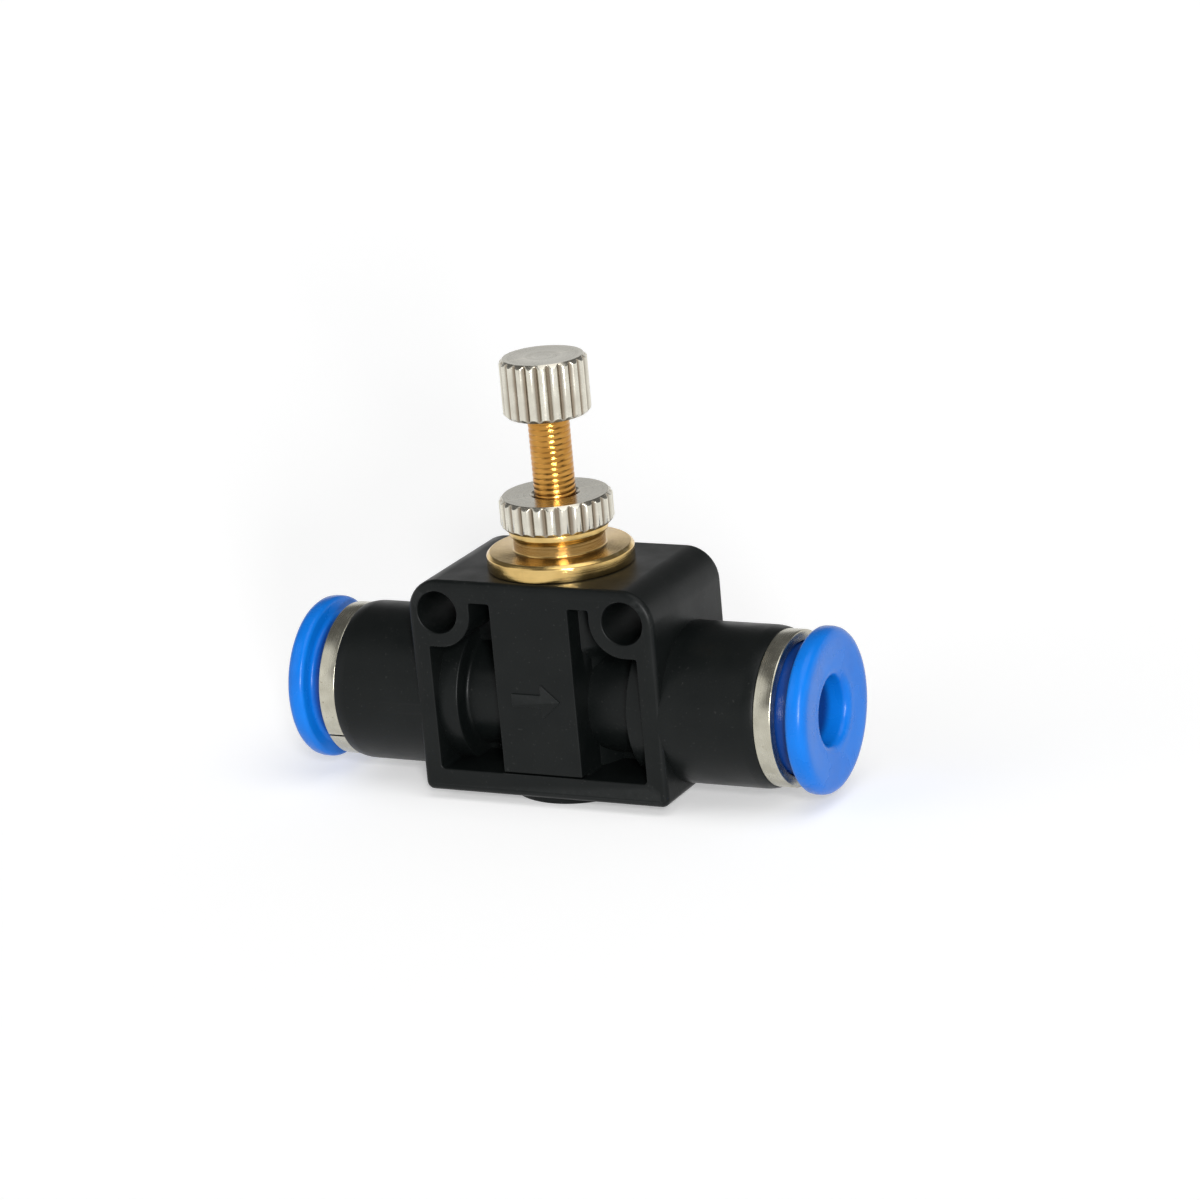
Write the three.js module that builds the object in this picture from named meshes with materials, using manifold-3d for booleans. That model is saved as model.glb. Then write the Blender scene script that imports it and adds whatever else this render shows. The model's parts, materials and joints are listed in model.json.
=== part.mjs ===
// In-line flow control valve: a moulded body with two push-in tube ends, a check seal
// and a needle that a knurled knob screws in and out. Millimetres, +Z up.
// X is the flow axis, Z the needle axis, and the panel face looks toward -Y.
// The origin is the centre of the flat foot under the body.
import * as THREE from 'three';
import { mergeVertices } from 'three/addons/utils/BufferGeometryUtils.js';
import Module from 'manifold-3d';

const wasm = await Module();
wasm.setup();

// ---------- fits ----------
const FIT = 0.05;                 // radial gap where a round piece sits in a round seat
const SEAL_FIT = 0.02;            // gap left around a soft seal
const SEGMENTS = 40;              // facets round the large turned shapes
const SMALL_SEGMENTS = 24;        // facets round the small turned shapes

// ---------- tube ends ----------
const TUBE_DIAMETER = 4;
const TUBE_CLEARANCE = 0.1;       // radial, where the tube slides in
const PORT_REACH = 14.45;         // body end face, from the needle axis
const SHELL_WALL = 0.55;          // wall round the collet cartridge
const TUBE_STOP = 5.1;            // where an inserted tube stops, from the needle axis
const SEAL_DEPTH = 1.3;           // radial depth of the seal pocket
const SEAL_LENGTH = 1.5;
const SPACER_LENGTH = 0.9;
const CLAW_RIM = 0.3;             // thickness of the claw ring's rim
const CLAW_RIM_WIDTH = 1.0;
const CLAW_SHEET = 0.2;
const CLAW_LEAN = 0.65;           // how far the claw tips lean inward along the tube
const CLAW_BITE = 0.04;           // how far the free claw tips stand inside the tube's surface
const CLAW_COUNT = 6;
const CLAW_SLOT = 0.5;
const GUIDE_LENGTH = 1.8;
const GUIDE_WALL = 0.7;
const GUIDE_COLLAR = 0.95;        // the full-width part of the guide, under the band
const GUIDE_LIP = 0.3;
const GUIDE_INSET = 0.45;         // how far the guide sits inside the body's end face
const BAND_STEP = 0.2;            // how far the band is set in from the tube end's surface
const BAND_WIDTH = 1.15;          // the part that shows
const BAND_WALL = 0.3;            // its embedded skirt
const BAND_SEAM = 0.16;
const BAND_SEAM_ANGLE = 31;       // degrees below the front, on the left end
const RELEASE_TRAVEL = 0.85;
const RELEASE_SPARE = 0.15;       // gap left behind the flange when it is fully pressed
const RELEASE_OVERHANG = 0.1;     // how far the flange stands out past the tube end
const RELEASE_FLANGE = 1.25;
const RELEASE_EDGE = 0.35;        // rounding of the flange rim
const RELEASE_DISH = 0.12;        // how far the pressed face is dished
const RELEASE_MOUTH = 0.4;        // rounding at the tube hole
const SLEEVE_WALL = 0.8;
const SLEEVE_BARB = 0.4;          // how far the retaining barb stands out
const SLEEVE_BARB_LENGTH = 0.3;
const SLEEVE_NOSE = 0.3;          // sleeve left past the barb

// ---------- body block ----------
const BLOCK_WIDTH = 16.8;
const BLOCK_MARGIN = 0.25;        // block left under the round tube ends
const BLOCK_ABOVE = 8.5;          // tube axis up to the block's top
const TOP_CORNER = 2.1;
const BOTTOM_CORNER = 0.5;
const FOOT_DIAMETER = 8.5;
const FOOT_HEIGHT = 0.6;
const SIDE_WALL = 1.3;
const FLOOR_WALL = 1.5;
const ROOF_WALL = 1.35;
const WEB = 1.6;                  // middle web between the front and back pockets
const PAD_WIDTH = 5.4;
const PAD_RECESS = 0.12;
const TOWER_WALL = 0.7;           // round tower about the bonnet, behind the pad
const BARREL_WALL = 1.35;         // flow barrel about the tube bore
const BARREL_STEP = 1.15;         // how much thicker it is beside the side walls
const BARREL_REACH = 1.3;         // how far the thicker part runs in
const HOLE_DIAMETER = 2.7;
const HOLE_MARGIN = 2.05;         // hole centre to the block's side and top
const HOLE_BOSS_WALL = 0.9;

// ---------- flow passages ----------
const PASSAGE_DIAMETER = 1.6;
const CHAMBER_DIAMETER = 6.0;
const CHAMBER_FLOOR = 3.9;        // below the tube axis
const BONNET_BORE_DIAMETER = 7.6;
const BONNET_BORE_DEPTH = 3.9;

// ---------- bonnet and needle ----------
const FLANGE_LAND = 0.8;          // how far the flange covers the block round its bore
const FLANGE_HEIGHT = 1.1;
const NECK_DIAMETER = 6.2;
const NECK_HEIGHT = 1.45;
const NECK_CHAMFER = 0.2;
const RING_SECTION = 0.76;        // both O-rings
const RING_ROOM = 0.28;           // extra groove width beside an O-ring
const PISTON_DIAMETER = 3.6;
const PISTON_LENGTH = 1.6;
const STEM_DIAMETER = 2.6;
const THREAD_PITCH = 0.35;
const TURNS_TO_CLOSE = 9;
const TURNS_TO_OPEN = 1;
const SEAT_BORE_DIAMETER = 1.6;
const NEEDLE_GAP = 0.06;          // ring gap left between needle and seat when closed
const NEEDLE_TAPER = 2.3;
const NEEDLE_ENTRY = 0.2;         // how far the full shank enters the seat when closed
const NEEDLE_TIP_DIAMETER = 0.4;
const SEAT_LENGTH = 0.8;
const SEAT_THROAT = 0.8;          // height of the flared mouth above the seat
const SEAT_CAVITY_DIAMETER = 3.3;
const SEAT_FLOOR = 1.5;           // underside of the sleeve, below the tube axis
const SEAT_TOP = 2.2;             // top of the sleeve, above the tube axis
const RIM_GAP = 0.4;              // air gap round the sleeve's lower rim
const CHECK_DEPTH = 0.8;          // radial depth of the check seal's groove
const CHECK_HEIGHT = 0.9;
const CHECK_LIP = 0.3;
const WINDOW_DIAMETER = 1.2;

// ---------- lock nut and knob ----------
const NUT_DIAMETER = 7.06;
const NUT_HEIGHT = 1.95;
const NUT_RIDGES = 26;
const KNOB_DIAMETER = 5.45;
const KNOB_HEIGHT = 3.65;
const KNOB_RIDGES = 22;
const KNOB_GAP = 5.05;            // bare thread between nut and knob as the needle is set
const KNOB_RECESS = 0.3;
const KNOB_CROWN = 0.8;
const SPIGOT_DIAMETER = 2.0;
const RIDGE_DEPTH = 0.2;
const RIM_CHAMFER = 0.22;
const EDGE_CHAMFER = 0.2;

// ---------- radii worked out from the tube outward ----------
const TUBE_BORE = TUBE_DIAMETER / 2 + TUBE_CLEARANCE;
const SEAL_POCKET = TUBE_BORE + SEAL_DEPTH;
const SLEEVE = TUBE_BORE + SLEEVE_WALL;
const GUIDE_BORE = SLEEVE + 2 * FIT;
const GUIDE_RELIEF = GUIDE_BORE + SLEEVE_BARB;
const BAND_BORE = GUIDE_RELIEF + GUIDE_WALL + FIT;
const CARTRIDGE = BAND_BORE + BAND_WALL;         // the parts held in the tube end
const CARTRIDGE_BORE = CARTRIDGE + FIT;
const PORT = CARTRIDGE_BORE + SHELL_WALL;        // outside of the round tube ends
const INNER_BARREL = TUBE_BORE + BARREL_WALL;
const BARREL = INNER_BARREL + BARREL_STEP;

// ---------- block sizes and levels worked out from the rest ----------
const BLOCK_DEPTH = 2 * PORT;                    // the tube ends are flush with the panel faces
const BLOCK_BELOW = PORT + BLOCK_MARGIN;         // tube axis down to the block's underside
const HOLE_X = BLOCK_WIDTH / 2 - HOLE_MARGIN;
const HOLE_RISE = BLOCK_ABOVE - HOLE_MARGIN;
const AXIS_HEIGHT = FOOT_HEIGHT + BLOCK_BELOW;
const BONNET_SHOULDER = BLOCK_ABOVE - BONNET_BORE_DEPTH;
const FLANGE_TOP = BLOCK_ABOVE + FLANGE_HEIGHT;
const NUT_BOTTOM = FLANGE_TOP + NECK_HEIGHT;
const NUT_TOP = NUT_BOTTOM + NUT_HEIGHT;
const KNOB_BOTTOM = NUT_TOP + KNOB_GAP;
const CLOSE_TRAVEL = TURNS_TO_CLOSE * THREAD_PITCH;
const OPEN_TRAVEL = TURNS_TO_OPEN * THREAD_PITCH;
const PISTON_BOTTOM = SEAT_TOP + CLOSE_TRAVEL + FIT;
const PISTON_TOP = PISTON_BOTTOM + PISTON_LENGTH;
const CYLINDER_TOP = PISTON_TOP + OPEN_TRAVEL + FIT;
const SEAT_EDGE = SEAT_LENGTH - SEAT_FLOOR;      // top of the narrow seat bore
const PASSAGE_OFFSET = (TUBE_DIAMETER - PASSAGE_DIAMETER) / 2 + TUBE_CLEARANCE;

// ---------- places worked out from the sizes, along the tube axis ----------
const FLANGE_BACK = PORT_REACH + BAND_WIDTH + RELEASE_TRAVEL + RELEASE_SPARE;
const GUIDE_END = PORT_REACH - GUIDE_INSET;
const GUIDE_START = GUIDE_END - GUIDE_LENGTH;
const SPACER_END = GUIDE_START - CLAW_RIM;
const SPACER_START = SPACER_END - SPACER_LENGTH;
const SEAL_START = SPACER_START - SEAL_LENGTH - SEAL_FIT;

// ---------- helpers ----------
const finish = {
  blackPlastic: { color: 0x232626, roughness: 0.45, metalness: 0 },
  bluePlastic: { color: 0x1468d8, roughness: 0.35, metalness: 0 },
  nickel: { color: 0xc6c0ac, roughness: 0.3, metalness: 1 },
  brass: { color: 0xc39a4a, roughness: 0.28, metalness: 1 },
  steel: { color: 0xb4b6b8, roughness: 0.35, metalness: 1 },
  rubber: { color: 0x161616, roughness: 0.8, metalness: 0 },
};

function toSolid(geometry) {
  const bare = geometry.clone();
  bare.deleteAttribute('normal');
  bare.deleteAttribute('uv');
  const merged = mergeVertices(bare, 1e-4);
  return new wasm.Manifold(new wasm.Mesh({
    numProp: 3,
    vertProperties: new Float32Array(merged.attributes.position.array),
    triVerts: new Uint32Array(merged.index.array),
  }));
}

function toGeometry(solid) {
  const mesh = solid.getMesh();
  const geometry = new THREE.BufferGeometry();
  geometry.setAttribute('position', new THREE.BufferAttribute(mesh.vertProperties, 3));
  geometry.setIndex(new THREE.BufferAttribute(mesh.triVerts, 1));
  geometry.computeVertexNormals();
  return geometry;
}

// A closed profile of [radius, height] points, counter-clockwise, turned about Z.
function turnedAboutZ(profile, segments = SEGMENTS) {
  const onAxis = profile[0][0] === 0;
  const points = (onAxis ? profile : [...profile, profile[0]]).map(([r, h]) => new THREE.Vector2(r, h));
  return new THREE.LatheGeometry(points, segments).rotateX(Math.PI / 2);
}

// The same, turned about X, with height measured along +X.
function turnedAboutX(profile, segments = SEGMENTS) {
  return turnedAboutZ(profile, segments).rotateY(Math.PI / 2);
}

// [radius, height] points of a quarter round about a centre, from one angle to another.
function arc(radius, height, size, fromDegrees, toDegrees, steps = 3) {
  return Array.from({ length: steps + 1 }, (_, i) => {
    const angle = THREE.MathUtils.degToRad(fromDegrees + (toDegrees - fromDegrees) * i / steps);
    return [radius + size * Math.cos(angle), height + size * Math.sin(angle)];
  });
}

function rod(radius, from, to) {
  return [[0, from], [radius, from], [radius, to], [0, to]];
}

function tube(inner, outer, from, to) {
  return [[inner, from], [outer, from], [outer, to], [inner, to]];
}

function box(width, depth, height, x, y, z) {
  return toSolid(new THREE.BoxGeometry(width, depth, height).translate(x, y, z));
}

// A rod along Y, for the mounting holes and their bosses.
function rodAlongY(radius, length, x, z) {
  return toSolid(new THREE.CylinderGeometry(radius, radius, length, SMALL_SEGMENTS).translate(x, 0, z));
}

function node(name, geometry, look) {
  const mesh = new THREE.Mesh(geometry, new THREE.MeshStandardMaterial(look));
  mesh.name = name;
  return mesh;
}

// An outline with rounded ridges standing on a circle, for knurled rims.
function knurlOutline(diameter, ridges) {
  const stepsPerRidge = 3;
  const points = Array.from({ length: ridges * stepsPerRidge }, (_, i) => {
    const angle = 2 * Math.PI * i / (ridges * stepsPerRidge);
    const wave = Math.abs(Math.cos(ridges * angle / 2));
    const radius = diameter / 2 - RIDGE_DEPTH * (1 - wave);
    return new THREE.Vector2(radius * Math.cos(angle), radius * Math.sin(angle));
  });
  return new THREE.Shape(points);
}

// A knurled wheel with chamfered rims, from height 0 up.
function knurledWheel(diameter, height, ridges) {
  const ribbed = toSolid(new THREE.ExtrudeGeometry(knurlOutline(diameter, ridges),
    { depth: height, bevelEnabled: false }));
  const full = diameter / 2 / Math.cos(Math.PI / SEGMENTS);
  const waist = toSolid(turnedAboutZ([
    [0, 0], [full - RIM_CHAMFER, 0], [full, RIM_CHAMFER],
    [full, height - RIM_CHAMFER], [full - RIM_CHAMFER, height], [0, height],
  ]));
  return ribbed.intersect(waist);
}

// ---------- body ----------
function blockOutline() {
  const half = BLOCK_WIDTH / 2;
  const quarter = Math.PI / 2;
  return new THREE.Shape()
    .absarc(half - BOTTOM_CORNER, BOTTOM_CORNER - BLOCK_BELOW, BOTTOM_CORNER, -quarter, 0)
    .absarc(half - TOP_CORNER, BLOCK_ABOVE - TOP_CORNER, TOP_CORNER, 0, quarter)
    .absarc(TOP_CORNER - half, BLOCK_ABOVE - TOP_CORNER, TOP_CORNER, quarter, 2 * quarter)
    .absarc(BOTTOM_CORNER - half, BOTTOM_CORNER - BLOCK_BELOW, BOTTOM_CORNER, 2 * quarter, 3 * quarter);
}

function holeBoss(side) {
  const x = side * HOLE_X;
  const radius = HOLE_DIAMETER / 2 + HOLE_BOSS_WALL;
  const half = HOLE_MARGIN / 2;
  return rodAlongY(radius, BLOCK_DEPTH, x, HOLE_RISE)
    .add(box(HOLE_MARGIN, BLOCK_DEPTH, 2 * radius, x + side * half, 0, HOLE_RISE))
    .add(box(2 * radius, BLOCK_DEPTH, HOLE_MARGIN, x, 0, HOLE_RISE + half));
}

// The block with its pockets: side walls, roof and floor round a middle web, with the
// flow barrel, the round tower and its pad, and the two hole bosses left standing in them.
function block() {
  const outline = toSolid(new THREE.ExtrudeGeometry(blockOutline(),
    { depth: BLOCK_DEPTH, bevelEnabled: false, curveSegments: 8 })
    .translate(0, 0, -BLOCK_DEPTH / 2).rotateX(Math.PI / 2));
  const pocketWidth = BLOCK_WIDTH - 2 * SIDE_WALL;
  const pocketBottom = FLOOR_WALL - BLOCK_BELOW;
  const pocketTop = BLOCK_ABOVE - ROOF_WALL;
  const pocketHeight = pocketTop - pocketBottom;
  const pocketDepth = (BLOCK_DEPTH - WEB) / 2;
  const middle = (pocketTop + pocketBottom) / 2;
  let pockets = box(pocketWidth, pocketDepth + 1, pocketHeight, 0, -(BLOCK_DEPTH - pocketDepth + 1) / 2, middle)
    .add(box(pocketWidth, pocketDepth + 1, pocketHeight, 0, (BLOCK_DEPTH - pocketDepth + 1) / 2, middle));

  const wallFace = pocketWidth / 2;
  const barrelEnd = wallFace - BARREL_REACH;
  const tower = BONNET_BORE_DIAMETER / 2 + TOWER_WALL;
  const inBlock = BLOCK_DEPTH - 2 * PAD_RECESS;
  const standing = [
    toSolid(turnedAboutX(rod(INNER_BARREL, -wallFace, wallFace))),
    toSolid(turnedAboutX(rod(BARREL, barrelEnd, BLOCK_WIDTH / 2))),
    toSolid(turnedAboutX(rod(BARREL, -BLOCK_WIDTH / 2, -barrelEnd))),
    toSolid(turnedAboutZ(rod(tower, pocketBottom - FLOOR_WALL / 2, pocketTop + ROOF_WALL / 2))),
    box(PAD_WIDTH, inBlock, pocketHeight + ROOF_WALL, 0, 0, middle),
    holeBoss(-1),
    holeBoss(1),
  ];
  for (const piece of standing) pockets = pockets.subtract(piece);
  return outline.subtract(pockets);
}

// Everything bored out of one tube end, along +X.
function socketBore() {
  const beyond = PORT_REACH + 1;
  return toSolid(turnedAboutX([
    [0, TUBE_STOP], [TUBE_BORE, TUBE_STOP], [TUBE_BORE, SEAL_START],
    [SEAL_POCKET, SEAL_START], [SEAL_POCKET, SPACER_START],
    [CARTRIDGE_BORE, SPACER_START], [CARTRIDGE_BORE, beyond], [0, beyond],
  ]));
}

function valveBody() {
  const portEdge = 0.3;
  const shell = toSolid(turnedAboutX([
    [0, -PORT_REACH], [PORT - portEdge, -PORT_REACH],
    [PORT, portEdge - PORT_REACH], [PORT, PORT_REACH - portEdge],
    [PORT - portEdge, PORT_REACH], [0, PORT_REACH],
  ]));
  // The round tube shell stops at the block's side walls, so it stays out of the pockets.
  const between = box(BLOCK_WIDTH - SIDE_WALL, BLOCK_DEPTH + 2, 2 * PORT + 2, 0, 0, 0);
  const foot = toSolid(turnedAboutZ(rod(FOOT_DIAMETER / 2, -AXIS_HEIGHT, FLOOR_WALL / 2 - BLOCK_BELOW)));
  const chamber = toSolid(turnedAboutZ([
    [0, -CHAMBER_FLOOR], [CHAMBER_DIAMETER / 2, -CHAMBER_FLOOR], [CHAMBER_DIAMETER / 2, BONNET_SHOULDER],
    [BONNET_BORE_DIAMETER / 2, BONNET_SHOULDER], [BONNET_BORE_DIAMETER / 2, BLOCK_ABOVE + 1],
    [0, BLOCK_ABOVE + 1],
  ]));
  const passage = (from, to, z) => toSolid(
    turnedAboutX(rod(PASSAGE_DIAMETER / 2, from, to), SMALL_SEGMENTS).translate(0, 0, z));

  return shell.subtract(between).add(block()).add(foot)
    .subtract(chamber)
    .subtract(socketBore())
    .subtract(socketBore().rotate([0, 0, 180]))
    .subtract(passage(0, TUBE_STOP + FIT, PASSAGE_OFFSET))
    .subtract(passage(-TUBE_STOP - FIT, 0, -PASSAGE_OFFSET))
    .subtract(rodAlongY(HOLE_DIAMETER / 2, BLOCK_DEPTH + 2, HOLE_X, HOLE_RISE))
    .subtract(rodAlongY(HOLE_DIAMETER / 2, BLOCK_DEPTH + 2, -HOLE_X, HOLE_RISE));
}

// ---------- bonnet, seat and needle ----------
const BONNET_RING_HEIGHT = BONNET_SHOULDER + (BLOCK_ABOVE - BONNET_SHOULDER) / 3;
const BONNET_GROOVE = BONNET_BORE_DIAMETER / 2 - RING_SECTION - 2 * SEAL_FIT;
const STEM_RING_HEIGHT = (PISTON_BOTTOM + PISTON_TOP) / 2;
const CYLINDER = PISTON_DIAMETER / 2 + FIT;
const STEM_GROOVE = CYLINDER - RING_SECTION - 2 * SEAL_FIT;
const GROOVE_HALF = (RING_SECTION + RING_ROOM) / 2;
const STEM_BORE = STEM_DIAMETER / 2 + FIT;

function bonnet() {
  const plug = BONNET_BORE_DIAMETER / 2 - FIT;
  const skirt = CHAMBER_DIAMETER / 2 - FIT;
  const flange = BONNET_BORE_DIAMETER / 2 + FLANGE_LAND;
  return turnedAboutZ([
    [CYLINDER, SEAT_TOP], [skirt, SEAT_TOP],
    [skirt, BONNET_SHOULDER + FIT], [plug, BONNET_SHOULDER + FIT],
    [plug, BONNET_RING_HEIGHT - GROOVE_HALF], [BONNET_GROOVE, BONNET_RING_HEIGHT - GROOVE_HALF],
    [BONNET_GROOVE, BONNET_RING_HEIGHT + GROOVE_HALF], [plug, BONNET_RING_HEIGHT + GROOVE_HALF],
    [plug, BLOCK_ABOVE], [flange, BLOCK_ABOVE],
    [flange, FLANGE_TOP - EDGE_CHAMFER], [flange - EDGE_CHAMFER, FLANGE_TOP],
    [NECK_DIAMETER / 2, FLANGE_TOP], [NECK_DIAMETER / 2, NUT_BOTTOM - NECK_CHAMFER],
    [NECK_DIAMETER / 2 - NECK_CHAMFER, NUT_BOTTOM], [STEM_BORE, NUT_BOTTOM],
    [STEM_BORE, CYLINDER_TOP], [CYLINDER, CYLINDER_TOP],
  ]);
}

function oRing(centreRadius) {
  const facets = 8;
  const section = Array.from({ length: facets }, (_, i) => {
    const angle = 2 * Math.PI * i / facets;
    const radius = RING_SECTION / 2;
    return [centreRadius + radius * Math.cos(angle), radius * Math.sin(angle)];
  });
  return turnedAboutZ(section, SMALL_SEGMENTS);
}

// The seat sleeve holds the narrow seat bore, the check seal's groove and four air windows.
function seatSleeve() {
  const rim = CHAMBER_DIAMETER / 2 - RIM_GAP;
  const land = CHAMBER_DIAMETER / 2 - FIT;
  const cavity = SEAT_CAVITY_DIAMETER / 2;
  const seat = SEAT_BORE_DIAMETER / 2;
  const groove = CHAMBER_DIAMETER / 2 - CHECK_DEPTH;
  const check = CHECK_HEIGHT / 2;
  const sleeve = toSolid(turnedAboutZ([
    [seat, -SEAT_FLOOR], [rim, -SEAT_FLOOR], [rim, -check], [groove, -check],
    [groove, check], [land, check], [land, SEAT_TOP], [cavity, SEAT_TOP],
    [cavity, SEAT_EDGE + SEAT_THROAT], [seat, SEAT_EDGE],
  ]));
  const middle = (check + SEAT_TOP) / 2;
  const window = () => turnedAboutX(rod(WINDOW_DIAMETER / 2, -land - 1, land + 1), 16);
  return sleeve
    .subtract(toSolid(window().translate(0, 0, middle)))
    .subtract(toSolid(window().rotateZ(Math.PI / 2).translate(0, 0, middle)));
}

// A lip ring: air lifts the thin outer lip one way and presses it shut the other way.
function checkSeal() {
  const inner = CHAMBER_DIAMETER / 2 - CHECK_DEPTH + SEAL_FIT;
  const outer = CHAMBER_DIAMETER / 2 - SEAL_FIT;
  const half = CHECK_HEIGHT / 2 - SEAL_FIT;
  const lip = outer - CHECK_LIP / 2;
  return turnedAboutZ([
    [inner, -half], [outer - CHECK_LIP, -half], [outer, half - CHECK_LIP], [outer, half],
    [lip, half], [inner + CHECK_LIP, half / 3 - CHECK_LIP], [inner + CHECK_LIP, half], [inner, half],
  ]);
}

// The needle from its tip up: taper, shank, piston with O-ring groove, threaded stem, spigot.
function needleStem() {
  const tip = NEEDLE_TIP_DIAMETER / 2;
  const shank = SEAT_BORE_DIAMETER / 2 - NEEDLE_GAP;
  const taperTop = SEAT_EDGE + CLOSE_TRAVEL - NEEDLE_ENTRY;
  const piston = PISTON_DIAMETER / 2;
  const stem = STEM_DIAMETER / 2;
  const spigot = SPIGOT_DIAMETER / 2;
  const shoulder = KNOB_BOTTOM + KNOB_RECESS;
  const end = KNOB_BOTTOM + KNOB_HEIGHT - KNOB_CROWN;
  return turnedAboutZ([
    [0, taperTop - NEEDLE_TAPER], [tip, taperTop - NEEDLE_TAPER], [shank, taperTop],
    [shank, PISTON_BOTTOM], [piston, PISTON_BOTTOM],
    [piston, STEM_RING_HEIGHT - GROOVE_HALF], [STEM_GROOVE, STEM_RING_HEIGHT - GROOVE_HALF],
    [STEM_GROOVE, STEM_RING_HEIGHT + GROOVE_HALF], [piston, STEM_RING_HEIGHT + GROOVE_HALF],
    [piston, PISTON_TOP], [stem, PISTON_TOP], [stem, shoulder],
    [spigot, shoulder], [spigot, end], [0, end],
  ], SMALL_SEGMENTS);
}

function lockNut() {
  const bore = toSolid(turnedAboutZ(rod(STEM_BORE, -1, NUT_HEIGHT + 1), SMALL_SEGMENTS));
  return knurledWheel(NUT_DIAMETER, NUT_HEIGHT, NUT_RIDGES).subtract(bore);
}

function knob() {
  const recess = STEM_DIAMETER / 2 + FIT;
  const socket = SPIGOT_DIAMETER / 2 + FIT;
  const end = KNOB_HEIGHT - KNOB_CROWN + FIT;
  const bore = toSolid(turnedAboutZ([
    [0, -1], [recess, -1], [recess, KNOB_RECESS], [socket, KNOB_RECESS], [socket, end], [0, end],
  ], SMALL_SEGMENTS));
  return knurledWheel(KNOB_DIAMETER, KNOB_HEIGHT, KNOB_RIDGES).subtract(bore);
}

// ---------- push-in tube end, along +X ----------
function releaseRing() {
  const outer = PORT + RELEASE_OVERHANG;
  const face = FLANGE_BACK + RELEASE_FLANGE;
  const neck = BAND_BORE - FIT;
  const neckEnd = GUIDE_END + RELEASE_TRAVEL + RELEASE_SPARE;
  const barb = SLEEVE + SLEEVE_BARB;
  const barbEnd = GUIDE_END - GUIDE_LIP - 2 * FIT;
  const barbStart = barbEnd - SLEEVE_BARB_LENGTH;
  const rim = outer - RELEASE_EDGE;
  const mouth = TUBE_BORE + RELEASE_MOUTH;
  const dished = face - RELEASE_DISH;
  return turnedAboutX([
    [TUBE_BORE, barbStart - SLEEVE_NOSE], [SLEEVE, barbStart - SLEEVE_NOSE],
    [SLEEVE, barbStart], [barb, barbStart], [barb, barbEnd], [SLEEVE, barbEnd],
    [SLEEVE, neckEnd], [neck, neckEnd], [neck, FLANGE_BACK],
    [rim, FLANGE_BACK], ...arc(rim, FLANGE_BACK + RELEASE_EDGE, RELEASE_EDGE, -45, 0, 1),
    ...arc(rim, face - RELEASE_EDGE, RELEASE_EDGE, 0, 90),
    ...arc(mouth, dished - RELEASE_MOUTH, RELEASE_MOUTH, 90, 180),
  ]);
}

function collarBand() {
  const outer = PORT - BAND_STEP;
  const edge = EDGE_CHAMFER / 2;
  const start = GUIDE_START + GUIDE_COLLAR;
  const ring = toSolid(turnedAboutX([
    [BAND_BORE, start], [CARTRIDGE, start], [CARTRIDGE, PORT_REACH], [outer, PORT_REACH],
    [outer, PORT_REACH + BAND_WIDTH - edge], [outer - edge, PORT_REACH + BAND_WIDTH],
    [BAND_BORE, PORT_REACH + BAND_WIDTH],
  ]));
  const seam = toSolid(new THREE.BoxGeometry(BAND_WIDTH + 4, outer, BAND_SEAM)
    .translate(PORT_REACH, outer / 2, 0)
    .rotateX(THREE.MathUtils.degToRad(-BAND_SEAM_ANGLE)));
  return ring.subtract(seam);
}

function clawGuide() {
  const collar = GUIDE_START + GUIDE_COLLAR - FIT;
  return turnedAboutX([
    [GUIDE_RELIEF, GUIDE_START], [CARTRIDGE, GUIDE_START], [CARTRIDGE, collar],
    [BAND_BORE - FIT, collar], [BAND_BORE - FIT, GUIDE_END], [GUIDE_BORE, GUIDE_END],
    [GUIDE_BORE, GUIDE_END - GUIDE_LIP], [GUIDE_RELIEF, GUIDE_END - GUIDE_LIP],
  ]);
}

// A spring steel ring whose fingers lean inward along the tube and grip it.
function lockClaw() {
  const bend = CARTRIDGE - CLAW_RIM_WIDTH;
  const tip = TUBE_DIAMETER / 2 - CLAW_BITE;
  const back = GUIDE_START;
  const front = SPACER_END;
  const ring = toSolid(turnedAboutX([
    [tip, front - CLAW_LEAN], [bend, front], [CARTRIDGE, front],
    [CARTRIDGE, back], [bend, back], [tip, front - CLAW_LEAN + CLAW_SHEET],
  ]));
  let cut = ring;
  for (let i = 0; i < CLAW_COUNT; i++) {
    const slot = new THREE.BoxGeometry(4 * CLAW_LEAN, bend, CLAW_SLOT)
      .translate(front, bend / 2, 0)
      .rotateX(2 * Math.PI * i / CLAW_COUNT);
    cut = cut.subtract(toSolid(slot));
  }
  return cut;
}

// Backs the claw ring and keeps the seal in its pocket; its flared mouth clears the claws.
function clawSpacer() {
  const throat = TUBE_BORE + 4 * FIT;
  const flare = CARTRIDGE - CLAW_RIM_WIDTH;
  return turnedAboutX([
    [throat, SPACER_START], [CARTRIDGE, SPACER_START], [CARTRIDGE, SPACER_END],
    [flare, SPACER_END], [throat, SPACER_START + SPACER_LENGTH / 5],
  ]);
}

// A packing with two lips: the inner one closes on the tube.
function tubeSeal() {
  const outer = SEAL_POCKET - SEAL_FIT;
  const root = TUBE_BORE + CLAW_SHEET;
  const lip = TUBE_DIAMETER / 2 - CLAW_BITE;
  const from = SEAL_START + SEAL_FIT;
  const to = SPACER_START - SEAL_FIT;
  const middle = (from + to) / 2;
  const notch = (root + outer) / 2;
  return turnedAboutX([
    [root, from], [outer, from], [outer, to], [notch + CLAW_SHEET, to], [notch, middle],
    [notch - CLAW_SHEET, to], [lip, to], [lip, to - CLAW_SHEET],
  ]);
}

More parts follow.
